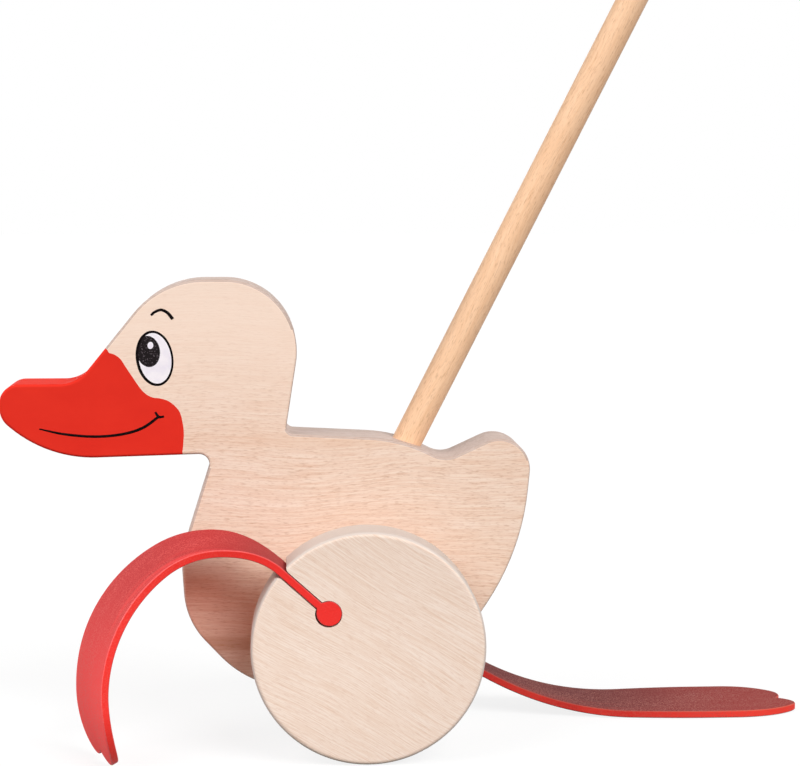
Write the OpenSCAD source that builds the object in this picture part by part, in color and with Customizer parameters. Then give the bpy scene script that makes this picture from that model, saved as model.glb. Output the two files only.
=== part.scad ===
// Duck push toy: a flat wooden duck on two wooden wheels, pushed by a long stick.
// Each wheel holds a webbed rubber foot by a bead in a keyhole, and the feet slap the floor as it rolls.
// Millimetres. The origin is on the floor, below the axle, in the duck's middle plane.
// The duck faces -X, and its left side is -Y. Heights in the duck's outline count from the axle.

/* [Head] */
// Height of the crown above the axle
crown_h = 118.5; // [112:0.5:128]
// Corner of the forehead, ahead of the axle
crown_front_x = 67.5; // [60:0.5:72]
// Rounding of the forehead
crown_front_r = 30; // [20:1:32]
// Corner at the back of the head, ahead of the axle
crown_back_x = 18.5; // [14:0.5:24]
// Rounding at the back of the head
crown_back_r = 24; // [15:1:28]
// Corner of the nape, ahead of the axle
nape_x = 26.5; // [22:0.5:32]
// Height of the nape above the axle
nape_h = 67; // [64:0.5:74]
// Hollow rounding of the nape
nape_r = 2.5; // [2:0.5:8]

/* [Bill] */
// Reach of the bill ahead of the axle
bill_reach = 121; // [112:1:130]
// Height of the bill's top above the axle
bill_top_h = 84; // [80:0.5:90]
// Corner where the forehead meets the bill, ahead of the axle
bill_root_x = 95.5; // [88:0.5:102]
// Hollow rounding where the forehead meets the bill
bill_root_r = 12; // [4:1:16]
// Rounding of the bill's upper tip
bill_tip_r = 6.5; // [4:0.5:10]
// Height above the axle where the tip turns under
bill_nose_h = 72.5; // [68:0.5:76]
// Rounding where the tip turns under
bill_nose_r = 8; // [3:0.5:10]
// Lowest corner of the bill, ahead of the axle
bill_under_x = 105; // [98:1:112]
// Height of the bill's lowest corner above the axle
bill_under_h = 59; // [54:0.5:64]
// Rounding of the bill's underside
bill_under_r = 42; // [20:1:44]

/* [Breast and belly] */
// Corner of the throat, ahead of the axle
throat_x = 50.5; // [46:0.5:56]
// Height of the throat above the axle
throat_h = 60.5; // [56:0.5:66]
// Hollow rounding of the throat
throat_r = 3.5; // [2:0.5:8]
// Foremost corner of the breast, ahead of the axle
breast_x = 61.5; // [56:0.5:68]
// Height of the breast's foremost corner above the axle
breast_h = 26; // [20:0.5:30]
// Rounding of the breast
breast_r = 33; // [10:1:40]
// Corner where the breast turns to the belly, ahead of the axle
belly_front_x = 60; // [54:1:64]
// Height of that corner above the axle
belly_front_h = 4; // [0:1:10]
// Rounding of that corner
belly_front_r = 26; // [10:1:30]
// Depth of the belly below the axle
belly_depth = 19.5; // [18:0.5:26]
// Front end of the belly's flat, ahead of the axle
belly_flat_front_x = 38; // [30:1:42]
// Rear end of the belly's flat, behind the axle
belly_flat_rear_x = 22.5; // [16:0.5:28]
// Rounding at both ends of the belly's flat
belly_r = 36; // [15:1:40]

/* [Tail and back] */
// Corner of the rump, behind the axle
rump_x = 53; // [48:0.5:58]
// Height of the rump's corner above the axle
rump_h = 26.5; // [20:0.5:32]
// Rounding of the rump
rump_r = 84; // [40:1:90]
// Corner of the tail, behind the axle
tail_x = 57.5; // [54:0.5:64]
// Height of the tail's corner above the axle
tail_h = 71.5; // [68:0.5:80]
// Rounding of the tail
tail_r = 10.5; // [6:0.5:12]
// Dip between tail and back, behind the axle
saddle_x = 27; // [24:1:32]
// Height of the dip above the axle
saddle_h = 57.5; // [54:0.5:64]
// Hollow rounding of the dip
saddle_r = 9; // [6:1:18]
// Rear corner of the back, behind the axle
back_x = 12.5; // [8:0.5:16]
// Height of the back's rear corner above the axle
back_h = 65; // [60:0.5:68]
// Rounding of the back's rear corner
back_r = 52; // [20:1:60]

/* [Duck plate] */
// Thickness of the plate that the duck is sawn from
plate_t = 25; // [20:1:30]
// Rounding of the plate's sawn edges
plate_edge_r = 1; // [0.5:0.25:2.5]

/* [Push stick] */
// Diameter of the stick
stick_d = 10; // [8:0.5:12]
// Length of the stick
stick_len = 500; // [300:10:650]
// Lean of the stick, back from upright
stick_lean = 27; // [15:1:40]
// Place of the stick's axis behind the axle, at the height of the back
stick_x = 16; // [12:0.5:20]
// Depth of the stick's hole, along the stick
stick_socket = 36; // [24:1:40]
// Diameter of the hand ball
ball_d = 35; // [28:1:45]
// Depth of the stick's hole in the ball
ball_socket = 20; // [12:1:24]
// Diameter of the flat round the ball's hole
ball_flat_d = 14; // [13:0.5:20]

/* [Wheels and axle] */
// Diameter of the wheels
wheel_d = 76.5; // [68:0.5:84]
// Thickness of the wheels
wheel_t = 18; // [14:1:22]
// Rounding of the wheels' edges
wheel_edge_r = 1.5; // [0.5:0.25:3]
// Gap between the duck and each wheel
wheel_gap = 11.5; // [11:0.5:16]
// Diameter of the axle
axle_d = 8; // [6:0.5:10]
// Depth of the axle's blind hole in each wheel
axle_seat = 12; // [8:0.5:13]
// Diameter of the spacers on the axle
spacer_d = 15; // [12:0.5:20]

/* [Keyholes] */
// Distance of a keyhole's round end from the wheel's centre
keyhole_r = 17.5; // [14:0.5:22]
// Rounding at the mouth of the slit
mouth_r = 2; // [0.5:0.25:3]
// Direction of the left wheel's slit, turned up from the rear
left_slit_a = 138; // [120:1:150]
// Direction of the right wheel's slit, turned down from the rear
right_slit_a = 28; // [24:1:34]

/* [Rubber feet] */
// Diameter of the bead that holds a foot in its keyhole
bead_d = 8.2; // [7:0.1:9]
// Thickness of a foot
foot_t = 2.5; // [1.5:0.1:3]
// Width of a foot at its toes
foot_w = 38; // [30:0.5:38.5]
// Length of a foot from the rim to its longer toe
foot_len = 129.5; // [120:0.5:135]
// Length over which a foot widens
flare_len = 93; // [70:1:95]
// How much the inner toe is shorter
toe_step = 4; // [0:0.5:5]
// Rounding length of the longer toe
long_toe_round = 26; // [20:1:34]
// Rounding length of the shorter toe
short_toe_round = 21; // [14:0.5:26]
// Depth of the notch between the toes
notch_depth = 8; // [6:0.5:9]
// Half width of the notch, as a share of the foot's half width
notch_span = 0.55; // [0.3:0.05:0.7]

/* [Resting bend of the feet] */
// Radius of the left foot's upper bend
left_upper_r = 31.5; // [28:0.5:33]
// Turn of the left foot's upper bend
left_upper_turn = 77; // [65:0.5:80]
// Turn of the left foot's lower bend
left_lower_turn = 84; // [80:0.5:95]
// Reach of the left foot along its bent path
left_path = 119; // [110:0.5:119.5]
// Sideways tilt of the left foot just past the rim
left_roll = 7; // [0:1:16]
// Sideways tilt of the left foot at its toes
left_toe_roll = 20; // [10:1:24]
// Length past the rim over which the tilt comes on
left_twist_len = 21; // [10:1:40]
// Radius of the bend that lays the right foot on the floor
right_bend_r = 106; // [80:1:130]

/* [Fits] */
// Clearance round the turning axle, each side
running_clearance = 0.08; // [0.05:0.01:0.1]
// Clearance of a glued dowel in its hole, each side
glue_clearance = 0.05; // [0.02:0.01:0.1]
// Clearance of a foot in its keyhole, each side
keyhole_clearance = 0.3; // [0.2:0.05:0.4]
// Side play between a spacer and the duck
side_play = 0.4; // [0.3:0.1:1]

/* [Hidden] */
$fn = 96;
cut = 1;
arc_step_deg = 7;
usable_side = 0.98;
edge_steps = 4;
toe_columns = 20;
strap_rows = 18;
toe_rows = 7;

beech = "#f4d3be";
pale_beech = "#f1dbcc";
tan_beech = "#e4b88c";
red_rubber = "#e0282c";

wheel_r = wheel_d / 2;
axle_z = wheel_r;
wheel_mid = plate_t / 2 + wheel_gap + wheel_t / 2;
slit_run = wheel_r - keyhole_r;

// Corners of the duck's outline as [x, height above the axle, rounding], counter-clockwise from the tail
duck_corners = [
    [tail_x, tail_h, tail_r],
    [saddle_x, saddle_h, saddle_r],
    [back_x, back_h, back_r],
    [-nape_x, nape_h, nape_r],
    [-crown_back_x, crown_h, crown_back_r],
    [-crown_front_x, crown_h, crown_front_r],
    [-bill_root_x, bill_top_h, bill_root_r],
    [-bill_reach, bill_top_h, bill_tip_r],
    [-bill_reach, bill_nose_h, bill_nose_r],
    [-bill_under_x, bill_under_h, bill_under_r],
    [-throat_x, throat_h, throat_r],
    [-breast_x, breast_h, breast_r],
    [-belly_front_x, belly_front_h, belly_front_r],
    [-belly_flat_front_x, -belly_depth, belly_r],
    [belly_flat_rear_x, -belly_depth, belly_r],
    [rump_x, rump_h, rump_r]
];

function heading(from, to) = atan2(to[1] - from[1], to[0] - from[0]);
function turn_between(a, b) = let (d = b - a) d - 360 * round(d / 360);
function smooth(u) = let (c = min(max(u, 0), 1)) c * c * (3 - 2 * c);

// Length of side that the full rounding of corner i takes up
function rounding_reach(corners, i) =
    let (
        n = len(corners),
        here = corners[i],
        a0 = heading(corners[(i + n - 1) % n], here)
    )
    here[2] * tan(abs(turn_between(a0, heading(here, corners[(i + 1) % n]))) / 2);

// Share of their full rounding that the two corners of side i have room for
function side_share(corners, i) =
    let (j = (i + 1) % len(corners), from = corners[i], to = corners[j])
    usable_side * norm([to[0] - from[0], to[1] - from[1]])
        / (rounding_reach(corners, i) + rounding_reach(corners, j));

// Points [x, height, heading] along the rounding of corner i, which its neighbours' sides may limit
function corner_arc(corners, i) =
    let (
        n = len(corners),
        before = corners[(i + n - 1) % n],
        here = corners[i],
        after = corners[(i + 1) % n],
        a0 = heading(before, here),
        turn = turn_between(a0, heading(here, after)),
        side = turn > 0 ? 1 : -1,
        r = here[2] * min(1, side_share(corners, i), side_share(corners, (i + n - 1) % n)),
        start = [here[0], here[1]] - r * tan(abs(turn) / 2) * [cos(a0), sin(a0)],
        centre = start + side * r * [-sin(a0), cos(a0)],
        steps = max(2, ceil(abs(turn) / arc_step_deg))
    )
    [for (k = [0 : steps])
        let (a = a0 + turn * k / steps)
        concat(centre + side * r * [sin(a), -cos(a)], a)];

// Twice the area of the triangle abc, positive where it runs counter-clockwise
function turn_area(a, b, c) = (b[0] - a[0]) * (c[1] - a[1]) - (b[1] - a[1]) * (c[0] - a[0]);

// Whether the corner at place k of a loop of point numbers can be cut off as a triangle
function is_ear(points, loop, k) =
    let (
        n = len(loop),
        before = loop[(k + n - 1) % n],
        after = loop[(k + 1) % n],
        a = points[before],
        b = points[loop[k]],
        c = points[after],
        inside = [for (j = loop)
            let (p = points[j])
            if (j != before && j != loop[k] && j != after && turn_area(a, b, p) >= 0
                && turn_area(b, c, p) >= 0 && turn_area(c, a, p) >= 0) j]
    )
    turn_area(a, b, c) > 0 && len(inside) == 0;

function next_ear(points, loop, k = 0) =
    k == len(loop) - 1 || is_ear(points, loop, k) ? k : next_ear(points, loop, k + 1);

// Triangles that fill a counter-clockwise loop of point numbers, cut off one corner at a time
function filled(points, loop, done = []) =
    len(loop) == 3 ? concat(done, [loop])
    : let (n = len(loop), k = next_ear(points, loop))
        filled(
            points,
            [for (i = [0 : n - 1]) if (i != k) loop[i]],
            concat(done, [[loop[(k + n - 1) % n], loop[k], loop[(k + 1) % n]]])
        );

// Closed solid between two faces of a rounded outline, thickness t along Y, with rounded edges
module rounded_plate(corners, t, edge_r) {
    outline = [for (i = [0 : len(corners) - 1]) each corner_arc(corners, i)];
    n = len(outline);
    // Each ring is [how far the outline draws in, place along Y]
    front = [for (k = [0 : edge_steps])
        let (a = 90 * k / edge_steps) [edge_r * (1 - sin(a)), edge_r * (1 - cos(a)) - t / 2]];
    rings = concat(front, [for (k = [edge_steps : -1 : 0]) [front[k][0], -front[k][1]]]);
    points = [for (ring = rings, p = outline)
        [p[0] - ring[0] * sin(p[2]), ring[1], p[1] + ring[0] * cos(p[2])]];
    sides = [for (k = [0 : len(rings) - 2], i = [0 : n - 1])
        let (j = (i + 1) % n) [k * n + j, (k + 1) * n + j, (k + 1) * n + i, k * n + i]];
    last = (len(rings) - 1) * n;
    face = filled([for (i = [0 : n - 1]) [points[i][0], points[i][2]]], [for (i = [0 : n - 1]) i]);
    near_face = [for (f = face) [f[2], f[1], f[0]]];
    far_face = [for (f = face) [last + f[0], last + f[1], last + f[2]]];
    polyhedron(points, concat(near_face, sides, far_face));
}

// Cylinder along Y, centred on the middle plane
module cross_pin(r, length) rotate([90, 0, 0]) cylinder(r = r, h = length, center = true);

// Frame of the stick: its lower end at the bottom of the hole, its axis along +Z
module along_stick() {
    translate([stick_x, 0, axle_z + back_h])
        rotate([0, stick_lean, 0])
            translate([0, 0, -stick_socket]) children();
}

module duck_body() {
    color(beech)
    difference() {
        translate([0, 0, axle_z]) rounded_plate(duck_corners, plate_t, plate_edge_r);
        translate([0, 0, axle_z]) cross_pin(axle_d / 2 + running_clearance, plate_t + 2 * cut);
        along_stick() cylinder(r = stick_d / 2 + glue_clearance, h = 2 * stick_socket);
    }
}

module push_stick() {
    color(tan_beech) along_stick() cylinder(d = stick_d, h = stick_len);
}

module handle_ball() {
    flat_depth = sqrt(pow(ball_d / 2, 2) - pow(ball_flat_d / 2, 2));
    color(beech)
    along_stick()
        translate([0, 0, stick_len - ball_socket + flat_depth])
            difference() {
                sphere(d = ball_d);
                translate([0, 0, -flat_depth - ball_d]) cylinder(d = 2 * ball_d, h = ball_d);
                translate([0, 0, -flat_depth - cut])
                    cylinder(r = stick_d / 2 + glue_clearance, h = ball_socket + cut);
            }
}

module axle() {
    color(tan_beech)
    translate([0, 0, axle_z]) cross_pin(axle_d / 2, plate_t + 2 * (wheel_gap + axle_seat));
}

// Section of a wheel: a rectangle with its two outer corners rounded
module wheel_section() {
    square([wheel_r - wheel_edge_r, wheel_t]);
    translate([0, wheel_edge_r]) square([wheel_r, wheel_t - 2 * wheel_edge_r]);
    for (y = [wheel_edge_r, wheel_t - wheel_edge_r])
        translate([wheel_r - wheel_edge_r, y]) circle(r = wheel_edge_r);
}

// Keyhole along +X: a round end, a slit to the rim and a rounded mouth
module keyhole_section() {
    slit = foot_t / 2 + keyhole_clearance;
    translate([keyhole_r, 0]) circle(r = bead_d / 2 + keyhole_clearance);
    translate([keyhole_r, -slit]) square([slit_run + cut, 2 * slit]);
    difference() {
        translate([wheel_r - mouth_r, -slit - mouth_r]) square([mouth_r + cut, 2 * (slit + mouth_r)]);
        for (side = [-1, 1])
            translate([wheel_r - mouth_r, side * (slit + mouth_r)]) circle(r = mouth_r);
    }
}

// Wheel on the side of the sign given, with its slit turned by slit_a from +X towards +Z
module wheel(side, slit_a) {
    color(pale_beech)
    translate([0, side * wheel_mid, axle_z])
        rotate([0, -slit_a, 0])
            rotate([90, 0, 0])
                difference() {
                    translate([0, 0, -wheel_t / 2]) rotate_extrude() wheel_section();
                    translate([0, 0, -wheel_t / 2 - cut])
                        linear_extrude(wheel_t + 2 * cut) keyhole_section();
                    translate([0, 0, side > 0 ? wheel_t / 2 - axle_seat : -wheel_t / 2 - cut])
                        cylinder(r = axle_d / 2 + glue_clearance, h = axle_seat + cut);
                }
}

module wheel_left() wheel(-1, left_slit_a);

module wheel_right() wheel(1, -right_slit_a);

module spacer(side) {
    length = wheel_gap - side_play;
    color(tan_beech)
    translate([0, side * (plate_t / 2 + wheel_gap - length / 2), axle_z])
        difference() {
            cross_pin(spacer_d / 2, length);
            cross_pin(axle_d / 2 + glue_clearance, length + 2 * cut);
        }
}

module spacer_left() spacer(-1);

module spacer_right() spacer(1);

// A strap's path in the XZ plane is a list of runs [length, turn], and a turn of 0 is straight
function run_end(p, a, run) =
    run[1] == 0 ? p + run[0] * [cos(a), sin(a)]
    : let (r = run[0] / (run[1] * PI / 180), b = a + run[1])
        p + r * [sin(b) - sin(a), cos(a) - cos(b)];

// Point and heading [x, z, heading] at the distance s along the runs
function along(p, a, runs, s, i = 0) =
    i == len(runs) - 1 || s <= runs[i][0]
    ? let (part = [s, runs[i][1] * s / runs[i][0]]) concat(run_end(p, a, part), a + part[1])
    : along(run_end(p, a, runs[i]), a + runs[i][1], runs, s - runs[i][0], i + 1);

// Half the width of a foot at the distance q past the rim
function half_width(q) = wheel_t / 2 + (foot_w - wheel_t) / 2 * smooth(q / flare_len);

// Where a foot ends, from the rim, on the line at v from -1, the longer toe's edge, to 1
function toe_end(v) =
    let (drop = 1 - sqrt(max(0, 1 - v * v)), notch = notch_depth * pow(max(0, 1 - abs(v) / notch_span), 2))
    v < 0 ? foot_len - long_toe_round * drop - notch
    : foot_len - toe_step - short_toe_round * drop - notch * (1 - toe_step / notch_depth);

// Point of a foot at q past the rim and v across, on the face of the sign given.
// The bend is [path length per foot length, sideways tilt, length it comes on over, tilt at the toes].
function foot_point(runs, slit_a, bend, q, v, face) =
    let (
        start = [keyhole_r * cos(slit_a), axle_z + keyhole_r * sin(slit_a)],
        free = max(q, 0) * bend[0],
        p = along(start, slit_a, runs, q < 0 ? slit_run + q : slit_run + free),
        a = p[2],
        tilt = (bend[1] + (bend[3] - bend[1]) * q / foot_len) * smooth(free / bend[2]),
        forward = [cos(a), 0, sin(a)],
        outward = [sin(a), 0, -cos(a)],
        across = cos(tilt) * [0, 1, 0] + sin(tilt) * outward
    )
    [p[0], 0, p[1]] + v * half_width(q) * across + face * foot_t / 2 * cross(forward, across);

// A foot: a strap that widens into two toes, swept along its path, and the bead at its root
module foot(side, slit_a, runs, bend) {
    columns = [for (k = [0 : toe_columns]) sin(180 * k / toe_columns - 90)];
    rows = strap_rows + toe_rows + 1;
    wide = foot_len - max(long_toe_round, short_toe_round + toe_step) - foot_t;
    // Distance past the rim of row i on the line at v: the first row is at the bead
    function row_q(i, v) =
        i == 0 ? -slit_run
        : i <= strap_rows ? wide * (i - 1) / (strap_rows - 1)
        : wide + (toe_end(v) - wide) * (i - strap_rows) / toe_rows;
    n = len(columns);
    sheet = rows * n;
    points = [for (face = [-1, 1], i = [0 : rows - 1], v = columns)
        foot_point(runs, slit_a, bend, row_q(i, v), v, face)];
    cells = [for (i = [0 : rows - 2], j = [0 : n - 2]) let (o = i * n + j) [o, o + 1, o + n + 1, o + n]];
    lower = [for (c = cells) each [[c[2], c[1], c[0]], [c[3], c[2], c[0]]]];
    upper = [for (c = lower) [c[2] + sheet, c[1] + sheet, c[0] + sheet]];
    rim = concat(
        [for (j = [0 : n - 1]) j],
        [for (i = [1 : rows - 1]) i * n + n - 1],
        [for (j = [n - 2 : -1 : 0]) (rows - 1) * n + j],
        [for (i = [rows - 2 : -1 : 1]) i * n]
    );
    m = len(rim);
    edge = [for (k = [0 : m - 1]) let (a = rim[k], b = rim[(k + 1) % m])
        each [[b + sheet, a + sheet, a], [b, b + sheet, a]]];
    color(red_rubber)
    translate([0, side * wheel_mid, 0]) {
        polyhedron(points, concat(lower, upper, edge));
        translate([keyhole_r * cos(slit_a), 0, axle_z + keyhole_r * sin(slit_a)])
            cross_pin(bead_d / 2, wheel_t);
    }
}

// The left foot springs up from its slit, arches over and touches the floor with its longer toe
module foot_left() {
    upper_len = left_upper_r * left_upper_turn * PI / 180;
    runs = [[slit_run, 0], [upper_len, left_upper_turn], [left_path - upper_len, left_lower_turn]];
    foot(-1, left_slit_a, runs, [left_path / foot_len, left_roll, left_twist_len, left_toe_roll]);
}

// The right foot runs down from its slit and bends until it lies on the floor
module foot_right() {
    rim_z = axle_z - wheel_r * sin(right_slit_a);
    bend_drop = right_bend_r * (1 - cos(right_slit_a));
    straight = (rim_z - foot_t / 2 - bend_drop) / sin(right_slit_a);
    bend_len = right_bend_r * right_slit_a * PI / 180;
    runs = [[slit_run + straight, 0], [bend_len, right_slit_a], [foot_len, 0]];
    foot(1, -right_slit_a, runs, [1, 0, foot_len, 0]);
}

duck_body();
push_stick();
handle_ball();
axle();
wheel_left();
wheel_right();
spacer_left();
spacer_right();
foot_left();
foot_right();
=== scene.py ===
import math

import bpy
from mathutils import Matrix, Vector, geometry


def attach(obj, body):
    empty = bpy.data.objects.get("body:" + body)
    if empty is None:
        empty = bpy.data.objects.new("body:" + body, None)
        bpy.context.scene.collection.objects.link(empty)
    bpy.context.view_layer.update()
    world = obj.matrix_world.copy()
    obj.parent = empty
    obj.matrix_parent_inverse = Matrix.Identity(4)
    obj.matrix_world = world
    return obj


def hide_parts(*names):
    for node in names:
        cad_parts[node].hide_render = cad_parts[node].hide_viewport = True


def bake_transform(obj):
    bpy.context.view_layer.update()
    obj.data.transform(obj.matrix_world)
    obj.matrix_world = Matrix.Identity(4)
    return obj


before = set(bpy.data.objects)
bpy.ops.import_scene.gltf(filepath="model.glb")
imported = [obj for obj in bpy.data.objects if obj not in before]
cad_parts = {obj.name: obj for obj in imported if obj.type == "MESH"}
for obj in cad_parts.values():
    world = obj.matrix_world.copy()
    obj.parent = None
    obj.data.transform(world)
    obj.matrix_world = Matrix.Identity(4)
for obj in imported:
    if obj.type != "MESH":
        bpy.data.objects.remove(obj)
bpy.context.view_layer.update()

# Duck plate: a 25 mm board of pale beech, sawn to the duck's outline and bored right through for the axle.
# Its edges are rounded over and sanded, and the whole bill is dipped in red satin lacquer, which ends in a
# line cut by hand. Sizes are in millimetres here, as they are on the drawing.
plate_half = 12.5
edge_round, edge_steps = 1, 6
axle_height = 38.25
bore_radius, bore_sides = 4.08, 64
duck_corners = [  # x, height above the axle and rounding, counter-clockwise from the tail
    (57.5, 71.5, 10.5), (27, 57.5, 9), (12.5, 65, 52), (-26.5, 67, 2.5), (-18.5, 118.5, 24),
    (-67.5, 118.5, 30), (-95.5, 84, 12), (-121, 84, 6.5), (-121, 72.5, 8), (-105, 59, 42),
    (-50.5, 60.5, 3.5), (-61.5, 26, 33), (-60, 4, 26), (-38, -19.5, 36), (22.5, -19.5, 36), (53, 26.5, 84),
]
bill_edge = [  # x and height of the lacquer's edge, from the forehead to the throat
    (-85.2, 133.4), (-84.4, 132.6), (-82.7, 132), (-80.8, 130.5), (-79.2, 128), (-77.1, 124.8),
    (-75.2, 121.9), (-73.3, 119.5), (-70.9, 117.9), (-68, 117.4), (-65.2, 116.5), (-63, 114.8),
    (-61.4, 112.6), (-60.5, 109.1), (-60.2, 105.8), (-60.4, 102), (-60.8, 99),
]


def rounded_outline(corners, arc_step, longest):
    """Points (x, height, heading) round a loop of rounded corners, none further apart than longest."""
    n = len(corners)
    most_of_side = 0.98
    spots = [Vector(c[:2]) for c in corners]
    sides = [spots[(i + 1) % n] - spots[i] for i in range(n)]
    headings = [math.atan2(s.y, s.x) for s in sides]
    turns = [math.remainder(headings[i] - headings[i - 1], math.tau) for i in range(n)]
    reach = [c[2] * math.tan(abs(t) / 2) for c, t in zip(corners, turns)]
    share = [most_of_side * sides[i].length / (reach[i] + reach[(i + 1) % n]) for i in range(n)]
    arcs = []
    for i, turn in enumerate(turns):
        radius = corners[i][2] * min(1, share[i], share[i - 1])
        a, side = headings[i - 1], math.copysign(1, turn)
        start = spots[i] - radius * math.tan(abs(turn) / 2) * Vector((math.cos(a), math.sin(a)))
        centre = start + side * radius * Vector((-math.sin(a), math.cos(a)))
        steps = max(3, math.ceil(abs(turn) / arc_step))
        for b in (a + turn * k / steps for k in range(steps + 1)):
            arcs.append((*(centre + side * radius * Vector((math.sin(b), -math.cos(b)))), b))
    ring = []
    for p, q in zip(arcs, arcs[1:] + arcs[:1]):
        cuts = max(1, math.ceil(math.dist(p[:2], q[:2]) / longest))
        bend = math.remainder(q[2] - p[2], math.tau)
        ring += [(p[0] + (q[0] - p[0]) * k / cuts, p[1] + (q[1] - p[1]) * k / cuts, p[2] + bend * k / cuts)
                 for k in range(cuts)]
    return ring


def smooth_line(points, cuts):
    """A soft line through the points, with that many steps from each to the next."""
    spots = [Vector(p) for p in points]
    ends = [2 * spots[0] - spots[1], *spots, 2 * spots[-1] - spots[-2]]
    line = []
    for a, b, c, d in zip(ends, ends[1:], ends[2:], ends[3:]):
        for t in (k / cuts for k in range(cuts)):
            line.append((2 * b + (c - a) * t + (2 * a - 5 * b + 4 * c - d) * t ** 2
                         + (3 * b - a - 3 * c + d) * t ** 3) / 2)
    return line + spots[-1:]


def add_piece(name, points_mm, faces):
    """A new object at the origin from points in millimetres."""
    mesh = bpy.data.meshes.new(name)
    mesh.from_pydata([Vector(p) / 1000 for p in points_mm], [], faces)
    mesh.polygons.foreach_set("use_smooth", [True] * len(faces))
    piece = bpy.data.objects.new(name, mesh)
    bpy.context.scene.collection.objects.link(piece)
    return piece


duck_loop = rounded_outline(duck_corners, arc_step=math.radians(3), longest=0.75)
outline = [(x, z + axle_height, h) for x, z, h in duck_loop]
around = len(outline)
quarter = [math.pi / 2 * k / edge_steps for k in range(edge_steps + 1)]
near_edge = [
    (edge_round * (1 - math.sin(a)), edge_round * (1 - math.cos(a)) - plate_half, a) for a in quarter
]
edge_rings = near_edge + [(inset, -y, math.pi - a) for inset, y, a in reversed(near_edge)]
plate_points, plate_normals = [], []
for inset, y, a in edge_rings:
    for x, z, h in outline:
        plate_points.append((x - inset * math.sin(h), y, z + inset * math.cos(h)))
        plate_normals.append((math.sin(a) * math.sin(h), -math.cos(a), -math.sin(a) * math.cos(h)))

flat_ring = [Vector((p[0], p[2])) for p in plate_points[:around]]
lacquer_clearance = 0.3


def nearest_on_ring(p):
    return min(range(around), key=lambda i: (flat_ring[i] - p).length)


def well_inside(p):
    i = nearest_on_ring(p)
    inward = Vector((-math.sin(outline[i][2]), math.cos(outline[i][2])))
    return (p - flat_ring[i]).dot(inward) > lacquer_clearance


lacquer_line = [p for p in smooth_line(bill_edge, 4) if well_inside(p)]
brow_end, throat_end = nearest_on_ring(lacquer_line[0]), nearest_on_ring(lacquer_line[-1])
bore_ring = [
    Vector((bore_radius * math.cos(a), axle_height + bore_radius * math.sin(a)))
    for a in (math.tau * k / bore_sides for k in range(bore_sides))
]
flat_points = flat_ring + lacquer_line + bore_ring
lacquer_ids = list(range(around, around + len(lacquer_line)))
bore_ids = list(range(lacquer_ids[-1] + 1, len(flat_points)))
bill_loop = [*range(brow_end, throat_end + 1), *reversed(lacquer_ids)]
wood_loop = [*range(throat_end, around), *range(brow_end + 1), *lacquer_ids]
BILL, BORE = 0, 2
loops = [bill_loop, wood_loop, bore_ids]
triangles_inside, merge_distance = 1, 1e-5
filled = geometry.delaunay_2d_cdt(flat_points, [], loops, triangles_inside, merge_distance, True)

BEECH, LACQUER, SAWN_SHADED = 0, 1, 2
plate_faces, plate_finish, plate_corners = [], [], []
last_ring = (len(edge_rings) - 1) * around
for y, first in ((-plate_half, 0), (plate_half, last_ring)):
    extra = len(plate_points) - around
    plate_points += [(p.x, y, p.y) for p in flat_points[around:]]
    for corners, owners in zip(filled[2], filled[5]):
        if not owners or BORE in owners:
            continue
        ids = [filled[3][c][0] for c in corners]
        a, b, c = (flat_points[i] for i in ids)
        if ((b - a).cross(c - a) > 0) != (y < 0):
            ids.reverse()
        plate_faces.append([i + (first if i < around else extra) for i in ids])
        plate_finish.append(LACQUER if BILL in owners else BEECH)
        plate_corners += [(0, math.copysign(1, y), 0)] * 3
last_band = len(edge_rings) - 2
for k in range(last_band + 1):
    for i in range(around):
        j = (i + 1) % around
        face = [k * around + i, (k + 1) * around + i, (k + 1) * around + j, k * around + j]
        plate_faces.append(face)
        # Edges past their bevels take the darker, greyer sawn tone, partly the sawn wood's own and partly
        # painted shade; on up-facing edges it starts on the first bevel ring, painted shade that darkens the
        # tops and dulls the bevels' light.
        faces_up = math.cos(outline[i][2]) < -0.3
        unshaded_rings = 1 if faces_up else 3
        sawn_and_shaded = unshaded_rings <= k <= last_band - unshaded_rings
        plate_finish.append(LACQUER if brow_end <= i < throat_end else SAWN_SHADED if sawn_and_shaded else BEECH)
        plate_corners += [plate_normals[v] for v in face]
bore_far = len(plate_points) - bore_sides
bore_near = bore_far - len(flat_points) + around
for k in range(bore_sides):
    j = (k + 1) % bore_sides
    plate_faces.append([bore_near + j, bore_far + j, bore_far + k, bore_near + k])
    plate_finish.append(BEECH)
    inward = [(Vector((0, axle_height)) - bore_ring[i]).normalized() for i in (j, j, k, k)]
    plate_corners += [(v.x, 0, v.y) for v in inward]
duck_plate = add_piece("duck_plate", plate_points, plate_faces)
duck_plate.data.polygons.foreach_set("material_index", plate_finish)
duck_plate.data.normals_split_custom_set(plate_corners)


def tone(code):
    """A shader colour from the hexadecimal code that it is seen as."""
    shares = [int(code[i:i + 2], 16) / 255 for i in (0, 2, 4)]
    return (*(s / 12.92 if s <= 0.04045 else ((s + 0.055) / 1.055) ** 2.4 for s in shares), 1)


def put(tree, kind, sockets, **settings):
    """A new node with its settings, each socket given a value or joined to another node's output."""
    made = tree.nodes.new(kind)
    for name, value in settings.items():
        setattr(made, name, value)
    for key, value in sockets.items():
        if isinstance(value, bpy.types.NodeSocket):
            tree.links.new(value, made.inputs[key])
        else:
            made.inputs[key].default_value = value
    return made


def worked(tree, operation, *values):
    """The result of a sum with numbers."""
    return put(tree, "ShaderNodeMath", dict(enumerate(values)), operation=operation).outputs[0]


def steered(tree, operation, *values):
    """The result of a sum with vectors."""
    return put(tree, "ShaderNodeVectorMath", dict(enumerate(values)), operation=operation).outputs[0]


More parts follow.
